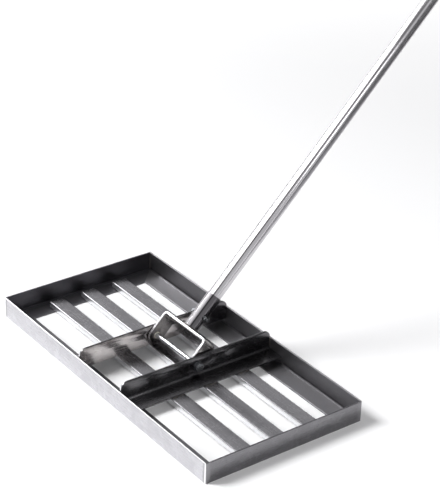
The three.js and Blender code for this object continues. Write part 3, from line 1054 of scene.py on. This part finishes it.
def build_grip():
    start = TUBE_END - GRIP_LENGTH
    inner = GRIP_BORE_RADIUS - 0.2
    end_round = 3
    reach = GRIP_RADIUS - end_round
    profile = [(inner, TUBE_END - 1), (inner, start + 1)]
    profile += quarter_round(reach, start + end_round, end_round, end_round, start=-90, steps=8)
    # Three moulded grooves near each end
    for groove in (12, 18, 24, GRIP_LENGTH - 24, GRIP_LENGTH - 18, GRIP_LENGTH - 12):
        for offset, depth in ((-1.6, 0), (-1.0, 0.5), (0, 0.9), (1.0, 0.5), (1.6, 0)):
            profile.append((GRIP_RADIUS - depth, start + groove + offset))
    profile += quarter_round(reach, TUBE_END - end_round, end_round, end_round, start=0, steps=8)
    finished("foam_grip", turned(profile), foam, "handle", ["grip"], HANDLE_PLACE, sharp=50)


def build_cap():
    base = TUBE_END + 0.3
    plug_end = base - CAP_PLUG_LENGTH
    plug = CAP_PLUG_RADIUS
    profile = [
        (0, base), (plug - 2, base), (plug - 2, plug_end + 0.5),
        (plug - 1.5, plug_end), (plug - 0.5, plug_end), (plug, plug_end + 0.5),
        (plug, base), (GRIP_RADIUS - 0.3, base), (GRIP_RADIUS, base + 0.3),
    ]
    profile += quarter_round(GRIP_RADIUS - 4, base + 1.5, 4, CAP_HEIGHT - 1.5, start=0, steps=10)
    profile.append((0, base + CAP_HEIGHT))
    body = turned(profile)
    finished("rubber_end_cap", body, rubber, "handle", ["end_cap"], HANDLE_PLACE, sharp=50)


build_tube("handle_tube_lower", SOCKET_START, TUBE_JOINT - TUBE_JOINT_GAP / 2)
build_tube("handle_tube_upper", TUBE_JOINT + TUBE_JOINT_GAP / 2, TUBE_END)
build_grip()
build_cap()
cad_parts["tube_spigot"].material_slots[0].material = tube_steel


# Weld beads


def build_beads(name, paths, radius, spacing, rides, stands_for=(), extra=None):
    """All beads of one kind on one body, as one piece, with an extra solid where one is given."""
    whole = bmesh.new()
    values = {"Ripple Spacing": spacing / 1000, "Bead Radius": radius / 1000, "Material": bead_steel}
    for points in paths:
        path = bpy.data.meshes.new("bead")
        metres = [tuple(value / 1000 for value in point) for point in points]
        path.from_pydata(metres, [(index, index + 1) for index in range(len(points) - 1)], [])
        mesh = made_by(weld_bead, values, placed("bead", path))
        whole.from_mesh(mesh)
        bpy.data.meshes.remove(mesh)
    if extra:
        extra.transform(Matrix.Scale(0.001, 4))
        whole = joined(whole, extra)
    dressed(name, meshed(name, whole), bead_steel, rides, stands_for, sharp=60)


def socket_bead():
    radius = SOCKET_RADIUS + 1.1
    level = SOCKET_START + 0.8
    points = []
    for step in range(73):
        turn = 2 * math.pi * step / 72
        points.append(HANDLE_PLACE @ Vector((radius * math.cos(turn), radius * math.sin(turn), level)))
    foot = SOCKET_RADIUS + GAP
    top = SOCKET_START + WELD_LEG - 0.6
    fillet = turned([
        (foot - 1, SOCKET_START), (foot + WELD_LEG - 0.4, SOCKET_START),
        (foot + 1.4, SOCKET_START + 1.2), (foot, top), (foot - 1, top),
    ])
    fillet.transform(HANDLE_PLACE)
    build_beads(
        "socket_weld_bead", [points], radius=2.3, spacing=2.2, rides="handle",
        stands_for=["socket_weld"], extra=fillet,
    )


def upright_seams(x, y, low, high):
    """Upright paths at four places, x and y away from the frame's middle."""
    seams = []
    for side_x in (-1, 1):
        for side_y in (-1, 1):
            spot = (side_x * x, FRAME_MIDDLE + side_y * y)
            seams.append([(*spot, low), (*spot, high)])
    return seams


def frame_beads():
    bar_ends = []
    foot_seams = []
    bar_x = BAR_LENGTH / 2 + 0.4
    bar_z = BAR_BOTTOM + 0.6
    foot_x = MEMBER_SPAN / 2 + ANGLE["foot"] + 0.3
    foot_z = BAR_TOP + 0.3
    for index in range(len(BAR_NAMES)):
        middle = bar_middle(index)
        for side in (-1, 1):
            bar_ends.append([(side * bar_x, middle + end, bar_z) for end in (-16, 16)])
            foot_seams.append([(side * foot_x, middle + end, foot_z) for end in (-13, 13)])
    wall_x = FRAME_LENGTH / 2 - ANGLE["wall"]
    wall_y = FRAME_WIDTH / 2 - ANGLE["wall"]
    web_x = MEMBER_SPAN / 2 + ANGLE["wall"]
    corners = upright_seams(wall_x - 0.4, wall_y - 0.4, low=9, high=47)
    webs = upright_seams(web_x + 0.3, wall_y - 0.3, low=30, high=48)
    build_beads("bar_end_beads", bar_ends, radius=1.7, spacing=1.8, rides="head")
    build_beads("member_foot_beads", foot_seams, radius=1.5, spacing=1.6, rides="head")
    build_beads("corner_beads", corners, radius=1.6, spacing=1.7, rides="head")
    build_beads("member_end_beads", webs, radius=1.6, spacing=1.7, rides="head")


socket_bead()
frame_beads()


# Studio, in metres and degrees: pale floor, a key light and a low fill for the floor, three lights
# and two dark cards that show only in the metal, and walls in the world

FLOOR_REACH = 14
FLOOR_LIFT = 0.05

CAMERA_PLACE = (2.6681, -1.7213, 2.0624)
CAMERA_HEADING = 52.921
CAMERA_DROP = 28.109
CAMERA_ROLL = 1.813
FOCAL_LENGTH = 127.25
SENSOR_WIDTH = 36


def seen_directly(tree):
    """1 for rays from the camera, a mirror or glass, and 0 for light that falls on a surface."""
    rays = add_node(tree, "ShaderNodeLightPath").outputs
    direct = maths(tree, "MAXIMUM", rays["Is Camera Ray"], rays["Is Glossy Ray"])
    return maths(tree, "MAXIMUM", direct, rays["Is Transmission Ray"])


def reach_along(tree, place, direction):
    """How far a place or a view reaches in a direction."""
    inputs = {0: place, 1: direction}
    return add_node(tree, "ShaderNodeVectorMath", inputs, operation="DOT_PRODUCT").outputs["Value"]


def sheet(name, corners, material):
    """Flat sheet with four corners."""
    mesh = bpy.data.meshes.new(name)
    mesh.from_pydata(corners, [], [(0, 1, 2, 3)])
    mesh.materials.append(material)
    return placed(name, mesh)


def build_floor():
    material, tree, place = new_material("pale_floor")
    paper = result(tree, "ShaderNodeBsdfDiffuse", {"Color": linear("#f4f4f5")})
    # Far from the lamps the floor glows, so that it stays white up to the horizon
    away = add_node(tree, "ShaderNodeVectorMath", {0: place}, operation="LENGTH")
    glow = ranged(tree, away.outputs["Value"], 1.6, 5.0, FLOOR_LIFT, 0.9, "SMOOTHSTEP")
    lift = result(tree, "ShaderNodeEmission", {"Color": linear("#ffffff"), "Strength": glow})
    none = result(tree, "ShaderNodeEmission", {"Color": linear("#000000"), "Strength": 0})
    chosen = result(tree, "ShaderNodeMixShader", {0: seen_directly(tree), 1: none, 2: lift})
    both = result(tree, "ShaderNodeAddShader", {0: paper, 1: chosen})
    add_node(tree, "ShaderNodeOutputMaterial", {"Surface": both})
    corners = [(x * FLOOR_REACH, y * FLOOR_REACH, 0) for x, y in ((-1, -1), (1, -1), (1, 1), (-1, 1))]
    floor = sheet("studio_floor", corners, material)


def build_card(name, corners, near="#767677", far="#767677"):
    """Dark cloth or card that shows only in the metal: it lies outside the picture.

    Its colour runs from near, at the picture's edge, to far, 1.4 m behind it.
    """
    material, tree, place = new_material("dark_card")
    beyond = reach_along(tree, place, (0.677, 0.736, 0))
    colour = mixed(tree, ranged(tree, beyond, 0.8, 2.2), near, far)
    cloth = result(tree, "ShaderNodeBsdfDiffuse", {"Color": colour})
    add_node(tree, "ShaderNodeOutputMaterial", {"Surface": cloth})
    card = sheet(name, corners, material)
    card.visible_camera = False
    card.visible_diffuse = False
    card.visible_shadow = False


def build_lamp(name, location, target, size, strength, in_metal):
    """Rectangular soft light facing a target. strength is its radiance, where 1 looks white.

    A light either shows in the metal as a bright band or lights the floor and the grip.
    """
    lamp = bpy.data.lights.new(name, "AREA")
    lamp.shape = "RECTANGLE"
    lamp.size = size[0]
    lamp.size_y = size[1]
    lamp.energy = strength * math.pi * size[0] * size[1]
    light = placed(name, lamp)
    light.location = location
    light.rotation_euler = (Vector(target) - Vector(location)).to_track_quat("-Z", "Y").to_euler()
    light.visible_glossy = in_metal
    light.visible_diffuse = not in_metal


def build_world():
    """Walls of the studio: pale at the horizon, brighter on the left than on the right."""
    world = bpy.data.worlds.new("studio_walls")
    world.use_nodes = True
    tree = world.node_tree
    tree.nodes.clear()
    way = add_node(tree, "ShaderNodeTexCoord").outputs["Generated"]
    height = add_node(tree, "ShaderNodeSeparateXYZ", {"Vector": way}).outputs["Z"]
    left = reach_along(tree, way, Vector((-0.90, 0.35, 0.25)).normalized())
    wall = ranged(tree, left, 0.2, 0.94, 0.06, 0.75, "SMOOTHSTEP")
    horizon = ranged(tree, height, 0.06, 0.26, 1, 0, "SMOOTHSTEP")
    # A pale reflector stands at the front right
    front_right = reach_along(tree, way, (0.86, -0.38, 0.34))
    board = ranged(tree, front_right, 0.82, 0.96, 0, 0.7, "SMOOTHSTEP")
    ceiling = ranged(tree, height, 0.58, 0.8, 0, 0.3, "SMOOTHSTEP")
    upper = maths(tree, "MAXIMUM", maths(tree, "MAXIMUM", wall, board), ceiling)
    strength = between(tree, horizon, upper, 0.9)
    # Metal shows the walls in full; as light on the floor they count for a third
    share = ranged(tree, seen_directly(tree), 0, 1, 0.35, 1)
    level = maths(tree, "MULTIPLY", strength, share)
    glow = result(tree, "ShaderNodeBackground", {"Color": linear("#fdfdff"), "Strength": level})
    add_node(tree, "ShaderNodeOutputWorld", {"Surface": glow})
    bpy.context.scene.world = world


def build_camera():
    """Where the photograph was taken from, found by fitting the frame's edges."""
    lens = bpy.data.cameras.new("camera")
    lens.sensor_fit = "AUTO"
    lens.sensor_width = SENSOR_WIDTH
    lens.lens = FOCAL_LENGTH
    camera = placed("camera", lens)
    heading = Matrix.Rotation(math.radians(CAMERA_HEADING), 4, "Z")
    tilt = Matrix.Rotation(math.radians(90 - CAMERA_DROP), 4, "X")
    roll = Matrix.Rotation(math.radians(CAMERA_ROLL), 4, "Z")
    camera.matrix_world = Matrix.Translation(CAMERA_PLACE) @ heading @ tilt @ roll
    bpy.context.scene.camera = camera


build_floor()
build_card("dark_card_right", [(1.5, 0.75, 0.0), (1.5, 4.0, 0.0), (1.5, 4.0, 1.6), (1.5, 0.75, 1.6)])
cloth_corners = [(0.05, 1.05, 0.004), (1.3, -0.1, 0.004), (4.0, 1.5, 0.004), (1.5, 4.5, 0.004)]
build_card("dark_floor_cloth", cloth_corners, "#b8b8ba", "#6a6a6b")
build_lamp("key_softbox", (-3.6, -4.3, 5.6), (0.2, 0.3, 0), size=(3.0, 4.2), strength=23.0, in_metal=False)
build_lamp("fill_softbox", (2.7, 0.5, 0.8), (0.4, 0.3, 0), size=(2.0, 0.8), strength=10.0, in_metal=False)
build_lamp("left_softbox", (-3.65, -0.5, 2.85), (0, 0.2, 0.1), size=(3.0, 1.4), strength=11.0, in_metal=True)
build_lamp("front_softbox", (-0.75, -2.1, 3.4), (0, 0.4, 0.3), size=(3.4, 2.0), strength=2.7, in_metal=True)
build_lamp("right_strip", (1.3, 0.2, 1.25), (0, 0.75, 0.6), size=(0.3, 0.5), strength=4.0, in_metal=True)
build_world()
build_camera()
bpy.context.scene.view_settings.view_transform = "Standard"
